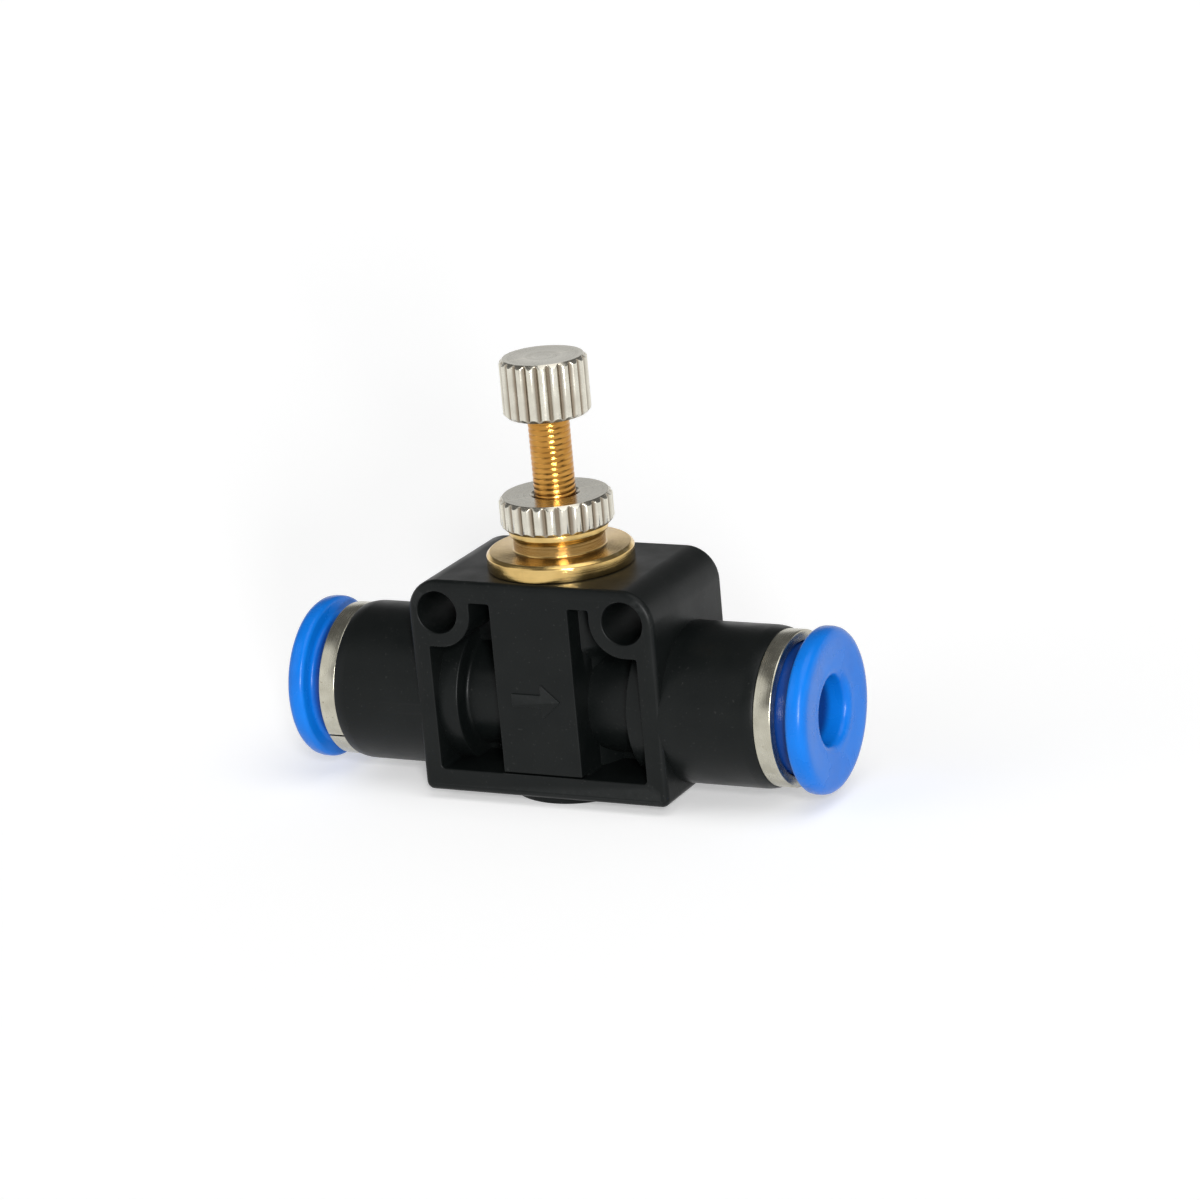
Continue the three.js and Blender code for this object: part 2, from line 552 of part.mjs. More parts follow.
function tubeEnd(side) {
  const end = new THREE.Group();
  end.add(
    node(`${side}_release_ring`, releaseRing(), finish.bluePlastic),
    node(`${side}_collar_band`, toGeometry(collarBand()), finish.nickel),
    node(`${side}_claw_guide`, clawGuide(), finish.brass),
    node(`${side}_lock_claw`, toGeometry(lockClaw()), finish.steel),
    node(`${side}_claw_spacer`, clawSpacer(), finish.brass),
    node(`${side}_tube_seal`, tubeSeal(), finish.rubber),
  );
  return end;
}

// ---------- assembly, on the tube axis ----------
const valve = new THREE.Group();
valve.position.z = AXIS_HEIGHT;

const bonnetRing = node('bonnet_o_ring', oRing(BONNET_GROOVE + SEAL_FIT + RING_SECTION / 2), finish.rubber);
bonnetRing.position.z = BONNET_RING_HEIGHT;
const stemRing = node('stem_o_ring', oRing(STEM_GROOVE + SEAL_FIT + RING_SECTION / 2), finish.rubber);
stemRing.position.z = STEM_RING_HEIGHT;
const nut = node('lock_nut', toGeometry(lockNut()), finish.nickel);
nut.position.z = NUT_BOTTOM;
const cap = node('adjusting_knob', toGeometry(knob()), finish.nickel);
cap.position.z = KNOB_BOTTOM;
const rightEnd = tubeEnd('right');
const leftEnd = tubeEnd('left');
leftEnd.rotation.z = Math.PI;

valve.add(
  node('valve_body', toGeometry(valveBody()), finish.blackPlastic),
  node('bonnet', bonnet(), finish.brass),
  node('seat_sleeve', toGeometry(seatSleeve()), finish.brass),
  node('check_seal', checkSeal(), finish.rubber),
  node('needle_stem', needleStem(), finish.brass),
  bonnetRing, stemRing, nut, cap, rightEnd, leftEnd,
);

const model = new THREE.Group();
model.add(valve);

export default model;
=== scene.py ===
"""In-line flow control valve with two push-in tube ends, finished over its CAD frame.

Sizes are in millimetres from the tube axis: X along the tubes, Z up the needle, and the
panel face toward -Y. to_mesh() turns them into metres on the frame.
"""
import json
import math

import bmesh
import bpy
from mathutils import Matrix, Vector

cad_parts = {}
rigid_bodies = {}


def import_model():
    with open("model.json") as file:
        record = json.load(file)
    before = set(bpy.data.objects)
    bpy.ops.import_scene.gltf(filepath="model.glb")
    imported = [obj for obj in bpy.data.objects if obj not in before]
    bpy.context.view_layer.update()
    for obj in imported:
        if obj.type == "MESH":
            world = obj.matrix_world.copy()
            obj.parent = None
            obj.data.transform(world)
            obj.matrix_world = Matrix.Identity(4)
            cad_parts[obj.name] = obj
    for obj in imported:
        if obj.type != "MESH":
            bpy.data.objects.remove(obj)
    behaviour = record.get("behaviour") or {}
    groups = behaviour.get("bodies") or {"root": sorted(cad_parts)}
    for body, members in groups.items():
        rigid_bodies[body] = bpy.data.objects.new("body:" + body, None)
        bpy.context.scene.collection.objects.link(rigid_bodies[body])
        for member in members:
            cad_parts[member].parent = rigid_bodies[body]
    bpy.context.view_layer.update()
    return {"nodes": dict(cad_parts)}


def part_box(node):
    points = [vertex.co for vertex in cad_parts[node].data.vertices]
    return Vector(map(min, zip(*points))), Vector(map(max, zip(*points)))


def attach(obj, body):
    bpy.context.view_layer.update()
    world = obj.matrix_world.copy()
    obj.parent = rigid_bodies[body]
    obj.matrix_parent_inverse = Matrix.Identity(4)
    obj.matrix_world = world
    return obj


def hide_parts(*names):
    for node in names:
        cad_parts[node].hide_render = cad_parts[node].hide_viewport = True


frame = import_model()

MM = 0.001
ROUND_STEPS = 4                   # facets in a rounded edge
TURNED_STEPS = 144                # facets round a turned piece
GUIDE_STEPS, NEEDLE_STEPS = 96, 72
SMALL_STEPS = 48                  # round the narrow passages and a turn of the thread
HOLE_STEPS, BOSS_STEPS = 64, 16   # round a screw hole, and in a quarter of its boss
SMOOTH_BELOW = math.radians(32)   # edges flatter than this are shaded smooth
WELD = 1e-4                       # points nearer than this become one
SLIVER = 2e-7                     # in metres: shorter edges than this are dissolved


def span(node, axis):
    """A CAD node's lowest and highest place along one axis, in millimetres."""
    low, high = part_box(node)
    return low[axis] / MM, high[axis] / MM


# ---------- sizes read from the frame ----------
RING_LOW, RING_HIGH = span("right_release_ring", 2)
AXIS_HEIGHT = (RING_LOW + RING_HIGH) / 2           # tube axis above the foot
RELEASE_RADIUS = (RING_HIGH - RING_LOW) / 2 - 0.001
SLEEVE_START, RELEASE_FACE = span("right_release_ring", 0)
BAND_START, BAND_END = span("right_collar_band", 0)
BAND_RADIUS = span("right_collar_band", 1)[1]
GUIDE_START, GUIDE_END = span("right_claw_guide", 0)
CARTRIDGE_RADIUS = span("right_claw_guide", 1)[1]
SPACER_START = span("right_claw_spacer", 0)[0]
SEAL_START = span("right_tube_seal", 0)[0]
PORT_REACH = span("valve_body", 0)[1]
PORT_RADIUS = span("valve_body", 1)[1]
FLANGE_RADIUS = span("bonnet", 0)[1]
NUT_RADIUS = span("lock_nut", 0)[1]
KNOB_RADIUS = span("adjusting_knob", 0)[1]
PISTON_RADIUS = span("needle_stem", 0)[1]


def heights(node):
    """A CAD node's lowest and highest place above the tube axis, in millimetres."""
    return [z - AXIS_HEIGHT for z in span(node, 2)]


ROOF = heights("valve_body")[1]
BONNET_LOW = heights("bonnet")[0]
SEAT_SLEEVE_TOP = heights("seat_sleeve")[1]
NUT_LOW, NUT_HIGH = heights("lock_nut")
KNOB_LOW, KNOB_HIGH = heights("adjusting_knob")
NEEDLE_TIP, NEEDLE_END = heights("needle_stem")
STEM_RING_LOW, STEM_RING_HIGH = heights("stem_o_ring")
BONNET_RING_LOW, BONNET_RING_HIGH = heights("bonnet_o_ring")

# ---------- body sizes ----------
BLOCK_HALF = 8.4
BLOCK_BELOW = 5.3
TOP_CORNER = 2.1
BOTTOM_CORNER = 0.5
OUTER_EDGE = 0.4                  # rounding along the block's outer edges
INNER_EDGE = 0.1                  # rounding at the mouths of pockets and holes
POCKET_HALF = 7.1
POCKET_FLOOR = -3.8
POCKET_ROOF = 7.15
PAD_HALF = 2.7
PAD_GROOVE, PAD_GROOVE_DEPTH = 0.14, 0.9
WEB_HALF, UPPER_WEB_REACH = 0.8, 4.9
HOLE_X, HOLE_Z, HOLE_RADIUS = 6.35, 6.45, 1.35
BOSS_RADIUS = 2.25
TOWER_RADIUS, TOWER_WAIST = 4.5, 3.6    # round the bonnet, and lower down between the barrels
BARREL_RADIUS, BARREL_START = 4.6, 5.8
INNER_BARREL_RADIUS = 3.45
FOOT_RADIUS = 4.25
TUBE_STOP = 5.1
TUBE_BORE = 2.1
SEAL_POCKET = 3.4
SHELL_BORE = 4.5
PASSAGE_RADIUS, PASSAGE_OFFSET = 0.8, 1.3
CHAMBER_RADIUS, CHAMBER_FLOOR = 3.0, -3.9
BONNET_BORE, BONNET_SHOULDER = 3.8, 4.6
PAST = 1                          # how far a cutting shape runs on past what it cuts

# ---------- bonnet, needle, nut and knob sizes ----------
FLANGE_TOP = ROOF + 1.1
FLANGE_CHAMFER = 0.2
NECK_RADIUS, NECK_WAIST = 3.1, 2.86
NECK_LIP, NECK_SLOPE = 0.4, 0.62  # below the nut: the lip's height, and where the waist begins
STEM_BORE = 1.35
CYLINDER_RADIUS, CYLINDER_TOP = 1.85, 7.4
O_RING_HALF = 0.52                # half the height of an O-ring's groove
STEM_RADIUS = 1.3
SPIGOT_RADIUS = 1.0
THREAD_PITCH = 0.35
THREAD_DEPTH = 0.035
THREAD_LAND = 0.17                # flat left on the crest
NUT_RIDGES, KNOB_RIDGES = 26, 22
RIDGE_STEPS = 14                  # facets in a ridge
RIDGE_DEPTH = 0.2
RIM_CHAMFER, RIM_STEPS = 0.24, 7
KNOB_RECESS = 0.3                 # depth of the recess where the stem enters the knob

# ---------- tube end sizes ----------
RING_FLANGE = 1.25
RING_DISH = 0.12                  # the ring's face lies this much behind its rim
RING_SHADE = 1.5                  # the blue is in shade this far behind the ring's rim
SEAM_WIDTH, SEAM_BELOW = 0.16, 31  # the band's seam, in millimetres and in degrees below level

# ---------- where the camera stands, and what the floor gives ----------
CAMERA_AZIMUTH = math.radians(27.605)
CAMERA_ELEVATION = math.radians(17.054)
CAMERA_ROLL = math.radians(-5.24)
CAMERA_DISTANCE = 279.684
CAMERA_RIGHT, CAMERA_UP = 1.623, 5.746
LENS = 134.58
HORIZON_END, ROOM_START = 0.2, 0.37     # the white ends here, and the grey above begins
ROOM_GREY = 0.15
FLOOR_HALF = 4                    # metres
FLOOR_GREY = 0.86
FLOOR_LIFT = 0.35


# ---------- camera, light and floor ----------
def direction(azimuth, elevation):
    """From the object toward that azimuth (from the panel face, toward +X) and elevation."""
    level = math.cos(elevation)
    return Vector((math.sin(azimuth) * level, -math.cos(azimuth) * level, math.sin(elevation)))


def set_camera():
    camera = bpy.data.objects.new("camera", bpy.data.cameras.new("camera"))
    camera.data.sensor_width = 36
    camera.data.lens = LENS
    camera.data.clip_start = 0.01
    back = direction(CAMERA_AZIMUTH, CAMERA_ELEVATION)
    level = Vector((math.cos(CAMERA_AZIMUTH), math.sin(CAMERA_AZIMUTH), 0))
    upright = back.cross(level)
    right = level * math.cos(CAMERA_ROLL) + upright * math.sin(CAMERA_ROLL)
    up = upright * math.cos(CAMERA_ROLL) - level * math.sin(CAMERA_ROLL)
    turn = Matrix((right, up, back)).transposed().to_4x4()
    spot = right * CAMERA_RIGHT + up * CAMERA_UP + back * CAMERA_DISTANCE
    spot += Vector((0, 0, AXIS_HEIGHT))
    camera.matrix_world = Matrix.Translation(spot * MM) @ turn
    bpy.context.scene.collection.objects.link(camera)
    bpy.context.scene.camera = camera


def add_sun(name, azimuth, elevation, strength, width):
    """A soft, far lamp; width is how wide it looks, in degrees."""
    lamp = bpy.data.lights.new(name, "SUN")
    lamp.energy = strength
    lamp.angle = math.radians(width)
    holder = bpy.data.objects.new(name, lamp)
    toward = direction(math.radians(azimuth), math.radians(elevation))
    holder.location = toward
    holder.rotation_euler = toward.to_track_quat("Z", "Y").to_euler()
    bpy.context.scene.collection.objects.link(holder)


def light_room():
    """A white horizon with a greyer room above it, as a table-top studio gives."""
    world = bpy.data.worlds.new("studio")
    bpy.context.scene.world = world
    world.use_nodes = True
    nodes, links = world.node_tree.nodes, world.node_tree.links
    nodes.clear()
    where = nodes.new("ShaderNodeTexCoord")
    split = nodes.new("ShaderNodeSeparateXYZ")
    ramp = nodes.new("ShaderNodeValToRGB")
    ramp.color_ramp.interpolation = "EASE"
    low, high = ramp.color_ramp.elements
    low.position, low.color = HORIZON_END, (1, 1, 1, 1)
    high.position, high.color = ROOM_START, (ROOM_GREY, ROOM_GREY, ROOM_GREY, 1)
    glow = nodes.new("ShaderNodeBackground")
    out = nodes.new("ShaderNodeOutputWorld")
    links.new(where.outputs["Generated"], split.inputs[0])
    links.new(split.outputs["Z"], ramp.inputs["Fac"])
    links.new(ramp.outputs["Color"], glow.inputs["Color"])
    links.new(glow.outputs[0], out.inputs["Surface"])
    add_sun("key", azimuth=33, elevation=25, strength=1.05, width=8)
    add_sun("front", azimuth=34, elevation=8, strength=1.7, width=7)
    add_sun("left_fill", azimuth=-48, elevation=32, strength=0.35, width=40)
    add_sun("top_fill", azimuth=60, elevation=66, strength=0.95, width=50)


def lay_floor():
    """A pale table that also glows a little where the camera, metal or glass sees it."""
    bm = bmesh.new()
    bmesh.ops.create_grid(bm, x_segments=1, y_segments=1, size=FLOOR_HALF)
    mesh = bpy.data.meshes.new("floor")
    bm.to_mesh(mesh)
    bm.free()
    floor = bpy.data.objects.new("floor", mesh)
    bpy.context.scene.collection.objects.link(floor)
    material = bpy.data.materials.new("white_table")
    material.use_nodes = True
    tree = material.node_tree
    nodes, links = tree.nodes, tree.links
    nodes.clear()
    paper = nodes.new("ShaderNodeBsdfDiffuse")
    paper.inputs["Color"].default_value = (FLOOR_GREY, FLOOR_GREY, FLOOR_GREY, 1)
    lift = nodes.new("ShaderNodeEmission")
    lift.inputs["Strength"].default_value = FLOOR_LIFT
    dark = nodes.new("ShaderNodeEmission")
    dark.inputs["Strength"].default_value = 0
    rays = nodes.new("ShaderNodeLightPath").outputs
    seen = math_in(tree, "MAXIMUM", rays["Is Camera Ray"], rays["Is Glossy Ray"])
    seen = math_in(tree, "MAXIMUM", seen, rays["Is Transmission Ray"])
    choose = nodes.new("ShaderNodeMixShader")
    both = nodes.new("ShaderNodeAddShader")
    out = nodes.new("ShaderNodeOutputMaterial")
    links.new(seen, choose.inputs["Fac"])
    links.new(dark.outputs[0], choose.inputs[1])
    links.new(lift.outputs[0], choose.inputs[2])
    links.new(paper.outputs[0], both.inputs[0])
    links.new(choose.outputs[0], both.inputs[1])
    links.new(both.outputs[0], out.inputs["Surface"])
    mesh.materials.append(material)


# ---------- nodes that the surface effects are built from ----------
def feed(tree, slot, side):
    """Puts a socket or a number into an input."""
    if isinstance(side, (int, float)):
        slot.default_value = side
    else:
        tree.links.new(side, slot)


def math_in(tree, operation, first, second=0):
    """A Math node; each side is a socket or a number."""
    node = tree.nodes.new("ShaderNodeMath")
    node.operation = operation
    feed(tree, node.inputs[0], first)
    feed(tree, node.inputs[1], second)
    return node.outputs[0]


def noise_in(tree, vector, scale, detail, rough=0.5):
    node = tree.nodes.new("ShaderNodeTexNoise")
    tree.links.new(vector, node.inputs["Vector"])
    feed(tree, node.inputs["Scale"], scale)
    node.inputs["Detail"].default_value = detail
    node.inputs["Roughness"].default_value = rough
    return node.outputs["Fac"]


def range_in(tree, value, from_low, from_high, low=0, high=1, kind="LINEAR"):
    """A value stretched from one range to another, and kept inside the second."""
    node = tree.nodes.new("ShaderNodeMapRange")
    node.interpolation_type = kind
    node.inputs["From Min"].default_value = from_low
    node.inputs["From Max"].default_value = from_high
    node.inputs["To Min"].default_value = low
    node.inputs["To Max"].default_value = high
    tree.links.new(value, node.inputs["Value"])
    return node.outputs["Result"]


def split_in(tree, vector):
    node = tree.nodes.new("ShaderNodeSeparateXYZ")
    tree.links.new(vector, node.inputs[0])
    return node.outputs


def radius_in(tree, place):
    """How far a split position lies from Z."""
    squares = [math_in(tree, "POWER", place[axis], 2) for axis in "XY"]
    return math_in(tree, "POWER", math_in(tree, "ADD", *squares), 0.5)


def effect_group(name, settings, results):
    """A node group with a Position, settings with their values, and results, all of them numbers."""
    group = bpy.data.node_groups.new(name, "ShaderNodeTree")
    group.interface.new_socket("Position", in_out="INPUT", socket_type="NodeSocketVector")
    for label, value in settings.items():
        socket = group.interface.new_socket(label, in_out="INPUT", socket_type="NodeSocketFloat")
        socket.default_value = value
    for label in results:
        group.interface.new_socket(label, in_out="OUTPUT", socket_type="NodeSocketFloat")
    start, end = group.nodes.new("NodeGroupInput"), group.nodes.new("NodeGroupOutput")
    return group, start.outputs, end.inputs


# ---------- surface effects ----------
def make_turning_marks():
    """Fine rings about Z: over a face they follow the radius, along a wall they follow Z."""
    group, start, end = effect_group("turning_marks", {"Marks per metre": 9000}, ["Height", "Tone"])
    link = group.links.new
    place = split_in(group, start["Position"])
    ring = group.nodes.new("ShaderNodeCombineXYZ")
    marks = start["Marks per metre"]
    link(math_in(group, "MULTIPLY", radius_in(group, place), marks), ring.inputs["X"])
    link(math_in(group, "MULTIPLY", place["Z"], marks), ring.inputs["Y"])
    link(noise_in(group, ring.outputs[0], 1, 4, 0.65), end["Height"])
    link(noise_in(group, start["Position"], 900, 3), end["Tone"])
    return group


def make_fine_grain():
    """A close, even grain with slow variation under it, and a few specks."""
    group, start, end = effect_group(
        "fine_grain", {"Grains per metre": 12000}, ["Height", "Tone", "Specks"])
    link = group.links.new
    place = start["Position"]
    link(noise_in(group, place, start["Grains per metre"], 3, 0.6), end["Height"])
    link(noise_in(group, place, 420, 4), end["Tone"])
    link(range_in(group, noise_in(group, place, 5200, 2, 0.4), 0.68, 0.76), end["Specks"])
    return group


def make_wear_and_hollow_shade():
    """Mask where an edge stands out and is rubbed, and Hollow, painted shade with some dirt in the
    hollows.
    """
    group, start, end = effect_group("edge_wear_and_hollow_shade", {"Amount": 1}, ["Mask", "Hollow"])
    link = group.links.new
    # over 0.5 the surface stands out, and under it lies in a hollow
    shape = group.nodes.new("ShaderNodeNewGeometry").outputs["Pointiness"]
    broken = noise_in(group, start["Position"], 2600, 3, 0.7)
    rubbed = math_in(group, "MULTIPLY", range_in(group, shape, 0.53, 0.62), broken)
    link(math_in(group, "MULTIPLY", rubbed, start["Amount"]), end["Mask"])
    # Hollow is painted shade with some dirt where the surface is concave
    link(range_in(group, shape, 0.495, 0.44), end["Hollow"])
    return group


def make_groove_shade():
    """Painted shade between the ridges of a wheel about Z: none on the crests, most at the groove's
    floor.
    """
    group, start, end = effect_group("painted_groove_shade", {"Rim": 0.004, "Depth": 0.0002}, ["Mask"])
    across = radius_in(group, split_in(group, start["Position"]))
    below = math_in(group, "SUBTRACT", start["Rim"], across)
    below = math_in(group, "DIVIDE", below, start["Depth"])
    deep = range_in(group, below, 0.12, 0.95, kind="SMOOTHSTEP")
    way = split_in(group, group.nodes.new("ShaderNodeNewGeometry").outputs["Normal"])
    wall = math_in(group, "SUBTRACT", 1, math_in(group, "ABSOLUTE", way["Z"]))
    group.links.new(math_in(group, "MULTIPLY", deep, wall), end["Mask"])
    return group


def make_recess_shade():
    """A mask over all that lies nearer the middle than a place along Z, on both sides."""
    group, start, end = effect_group("recess_shade", {"Place": 0, "Fade": 0.0004}, ["Mask"])
    along = math_in(group, "ABSOLUTE", split_in(group, start["Position"])["Z"])
    inside = math_in(group, "SUBTRACT", start["Place"], along)
    inside = math_in(group, "DIVIDE", inside, start["Fade"])
    group.links.new(range_in(group, inside, -0.5, 0.5, kind="SMOOTHSTEP"), end["Mask"])
    return group


TURNING_MARKS = make_turning_marks()
FINE_GRAIN = make_fine_grain()
WEAR_AND_HOLLOW_SHADE = make_wear_and_hollow_shade()
GROOVE_SHADE = make_groove_shade()
RECESS_SHADE = make_recess_shade()


# ---------- materials ----------
class Finish:
    """One material: a Principled surface, a centred position and the shared effects."""

    def __init__(self, name, metallic=0.0, specular=0.5, turned_about="Z"):
        self.material = bpy.data.materials.new(name)
        self.material.use_nodes = True
        self.tree = self.material.node_tree
        self.surface = self.tree.nodes["Principled BSDF"]
        self.surface.inputs["Metallic"].default_value = metallic
        self.surface.inputs["Specular IOR Level"].default_value = specular
        where = self.tree.nodes.new("ShaderNodeTexCoord")
        centre = self.tree.nodes.new("ShaderNodeMapping")
        self.tree.links.new(where.outputs["Object"], centre.inputs["Vector"])
        if turned_about == "X":
            # the tube axis becomes the pattern's Z
            centre.inputs["Location"].default_value = (AXIS_HEIGHT * MM, 0, 0)
            centre.inputs["Rotation"].default_value = (0, -math.pi / 2, 0)
        self.position = centre.outputs["Vector"]

    def effect(self, group, **values):
        node = self.tree.nodes.new("ShaderNodeGroup")
        node.node_tree = group
        self.tree.links.new(self.position, node.inputs["Position"])
        for label, value in values.items():
            node.inputs[label.replace("_", " ")].default_value = value
        return node.outputs

    def blend(self, mask, first, second):
        """Colours mixed by a mask; each is a colour or a socket."""
        node = self.tree.nodes.new("ShaderNodeMix")
        node.data_type = "RGBA"
        self.tree.links.new(mask, node.inputs["Factor"])
        sockets = [s for s in node.inputs if s.type == "RGBA"]
        for slot, colour in zip(sockets, (first, second)):
            if isinstance(colour, tuple):
                slot.default_value = (*colour, 1)
            else:
                self.tree.links.new(colour, slot)
        return next(s for s in node.outputs if s.type == "RGBA")

    def ranged(self, value, low, high):
        """The middle of a noise stretched to a range."""
        return range_in(self.tree, value, 0.3, 0.7, low, high)

    def part_of(self, mask, amount):
        return math_in(self.tree, "MULTIPLY", mask, amount)

    def colour(self, socket):
        self.tree.links.new(socket, self.surface.inputs["Base Color"])

    def rough(self, socket):
        self.tree.links.new(socket, self.surface.inputs["Roughness"])

    def bump(self, height, depth):
        """depth is in millimetres."""
        node = self.tree.nodes.new("ShaderNodeBump")
        node.inputs["Distance"].default_value = depth * MM
        node.inputs["Strength"].default_value = 1
        self.tree.links.new(height, node.inputs["Height"])
        self.tree.links.new(node.outputs[0], self.surface.inputs["Normal"])


def moulded_black():
    finish = Finish("moulded_black", specular=0.16)
    grain = finish.effect(FINE_GRAIN, Grains_per_metre=9000)
    wear_and_shade = finish.effect(WEAR_AND_HOLLOW_SHADE, Amount=0.5)
    tone = finish.ranged(grain["Tone"], 0, 1)
    base = finish.blend(tone, (0.0034, 0.0045, 0.0044), (0.005, 0.0062, 0.006))
    dusty = finish.blend(finish.part_of(grain["Specks"], 0.25), base, (0.05, 0.05, 0.048))
    finish.colour(finish.blend(wear_and_shade["Mask"], dusty, (0.03, 0.032, 0.032)))
    finish.rough(finish.ranged(grain["Tone"], 0.32, 0.44))
    finish.bump(grain["Height"], 0.006)
    return finish.material


def moulded_blue():
    finish = Finish("moulded_blue", specular=0.22, turned_about="X")
    grain = finish.effect(FINE_GRAIN, Grains_per_metre=7000)
    tone = finish.ranged(grain["Tone"], 0, 1)
    base = finish.blend(tone, (0.002, 0.14, 0.57), (0.003, 0.17, 0.66))
    neck = finish.effect(RECESS_SHADE, Place=(RELEASE_FACE - RING_SHADE) * MM, Fade=0.0006)
    finish.colour(finish.blend(finish.part_of(neck["Mask"], 0.92), base, (0.004, 0.03, 0.18)))
    finish.rough(finish.ranged(grain["Tone"], 0.24, 0.32))
    finish.bump(grain["Height"], 0.004)
    return finish.material


def turned_metal(name, pale, deep, rough, marks, depth, turned_about="Z", worn=(0.9, 0.85, 0.7),
                 shade_and_dirt_colour=(0.2, 0.15, 0.1), rim=None, hollow=None, specks=0.0):
    """A turned and rubbed metal, with its marks per metre and their depth in millimetres.

    A rim radius adds painted shade on the walls that lie up to hollow millimetres inside it.
    """
    finish = Finish(name, metallic=1.0, turned_about=turned_about)
    ring = finish.effect(TURNING_MARKS, Marks_per_metre=marks)
    wear_and_shade = finish.effect(WEAR_AND_HOLLOW_SHADE, Amount=0.7)
    base = finish.blend(finish.ranged(ring["Tone"], 0, 1), deep, pale)
    # painted shade with some dirt in the hollows, painted shade in the grooves, and real dust specks
    shade_and_dirt = finish.part_of(wear_and_shade["Hollow"], 0.7)
    if rim:
        groove_shade_mask = finish.effect(GROOVE_SHADE, Rim=rim * MM, Depth=hollow * MM)
        shade_and_dirt = math_in(finish.tree, "MAXIMUM", shade_and_dirt, finish.part_of(groove_shade_mask["Mask"], 0.85))
    if specks:
        spots = finish.effect(FINE_GRAIN)
        shade_and_dirt = math_in(finish.tree, "MAXIMUM", shade_and_dirt, finish.part_of(spots["Specks"], specks))
    finish.colour(finish.blend(shade_and_dirt, finish.blend(wear_and_shade["Mask"], base, worn), shade_and_dirt_colour))
    fine = finish.ranged(ring["Height"], -0.05, 0.07)
    broad = finish.ranged(ring["Tone"], rough - 0.03, rough + 0.05)
    finish.rough(math_in(finish.tree, "ADD", fine, broad))
    finish.bump(ring["Height"], depth)
    return finish.material


def soft_rubber():
    finish = Finish("soft_rubber", specular=0.4)
    grain = finish.effect(FINE_GRAIN, Grains_per_metre=14000)
    finish.colour(finish.blend(grain["Tone"], (0.011, 0.011, 0.012), (0.02, 0.02, 0.02)))
    finish.rough(finish.ranged(grain["Tone"], 0.55, 0.75))
    finish.bump(grain["Height"], 0.008)
    return finish.material


BLACK = moulded_black()
BLUE = moulded_blue()
RUBBER = soft_rubber()
PLATING = {"pale": (0.72, 0.7, 0.61), "deep": (0.6, 0.57, 0.49),
           "rough": 0.22, "marks": 9000, "depth": 0.003, "hollow": RIDGE_DEPTH}
NUT_NICKEL = turned_metal("plated_nickel_nut", rim=NUT_RADIUS, **PLATING)
KNOB_NICKEL = turned_metal("plated_nickel_knob", rim=KNOB_RADIUS, **PLATING)
BAND_NICKEL = turned_metal(
    "plated_nickel_band", pale=(0.56, 0.54, 0.45), deep=(0.44, 0.42, 0.34),
    rough=0.24, marks=7000, depth=0.004, turned_about="X", specks=0.5)
# the rim paints shade on the neck's waist, standing in for the dark reflections there
BRASS = turned_metal(
    "turned_brass", pale=(0.74, 0.52, 0.2), deep=(0.58, 0.39, 0.14),
    rough=0.13, marks=16000, depth=0.011, worn=(0.95, 0.78, 0.45), shade_and_dirt_colour=(0.27, 0.16, 0.055),
    rim=NECK_RADIUS + 0.06, hollow=0.3)
STEM_BRASS = turned_metal(
    "threaded_brass", pale=(0.58, 0.3, 0.07), deep=(0.42, 0.19, 0.035),
    rough=0.13, marks=16000, depth=0.012, worn=(0.9, 0.62, 0.25), shade_and_dirt_colour=(0.2, 0.09, 0.02))
TUBE_BRASS = turned_metal(
    "turned_brass_along", pale=(0.84, 0.6, 0.27), deep=(0.7, 0.47, 0.19),
    rough=0.26, marks=8000, depth=0.008, turned_about="X", worn=(0.93, 0.75, 0.42))
STEEL = turned_metal(
    "spring_steel", pale=(0.6, 0.61, 0.62), deep=(0.5, 0.5, 0.51),
    rough=0.3, marks=9000, depth=0.004, turned_about="X", worn=(0.8, 0.8, 0.8))


# ---------- making pieces ----------
TO_FRAME = Matrix.Scale(MM, 4) @ Matrix.Translation((0, 0, AXIS_HEIGHT))
UP = Matrix.Identity(4)
RIGHTWARD = Matrix.Rotation(math.pi / 2, 4, "Y")    # a piece turned about Z now points along +X
LEFTWARD = Matrix.Rotation(math.pi, 4, "Z") @ RIGHTWARD
ENDS = {"right": RIGHTWARD, "left": LEFTWARD}


def shift(x, y, z):
    return Matrix.Translation((x, y, z))


def wire(bm, corners, closed):
    """Corners (across, up, rounding) joined by edges in the XZ plane, each rounding bevelled in."""
    verts = [bm.verts.new((c[0], 0, c[1])) for c in corners]
    for a, b in zip(verts, verts[1:] + (verts[:1] if closed else [])):
        bm.edges.new((a, b))
    for size in {c[2] for c in corners if len(c) > 2}:
        round_these = [v for v, c in zip(verts, corners) if len(c) > 2 and c[2] == size]
        bmesh.ops.bevel(bm, geom=round_these, offset=size, offset_type="OFFSET",
                        segments=ROUND_STEPS, profile=0.5, affect="VERTICES", material=-1)


def turn(corners, steps=TURNED_STEPS):
    """A solid turned about Z from its half section.

    A section that starts on the axis ends on it too.
    """
    bm = bmesh.new()
    wire(bm, corners, closed=corners[0][0] > 0)
    bmesh.ops.spin(bm, geom=bm.verts[:] + bm.edges[:], cent=(0, 0, 0), axis=(0, 0, 1),
                   angle=math.tau, steps=steps, use_merge=True)
    return weld(bm)


def weld(bm, reach=WELD):
    """Joins points that meet, and turns every face outward."""
    bmesh.ops.remove_doubles(bm, verts=bm.verts[:], dist=reach)
    bmesh.ops.recalc_face_normals(bm, faces=bm.faces[:])
    return bm


def add_shape(bm, other):
    """Puts another shape's faces into bm, and frees the other."""
    mesh = bpy.data.meshes.new("part")
    other.to_mesh(mesh)
    other.free()
    bm.from_mesh(mesh)
    bpy.data.meshes.remove(mesh)


def to_mesh(bm, name, turned=UP):
    bmesh.ops.transform(bm, matrix=TO_FRAME @ turned, verts=bm.verts[:])
    mesh = bpy.data.meshes.new(name)
    bm.to_mesh(mesh)
    bm.free()
    return mesh


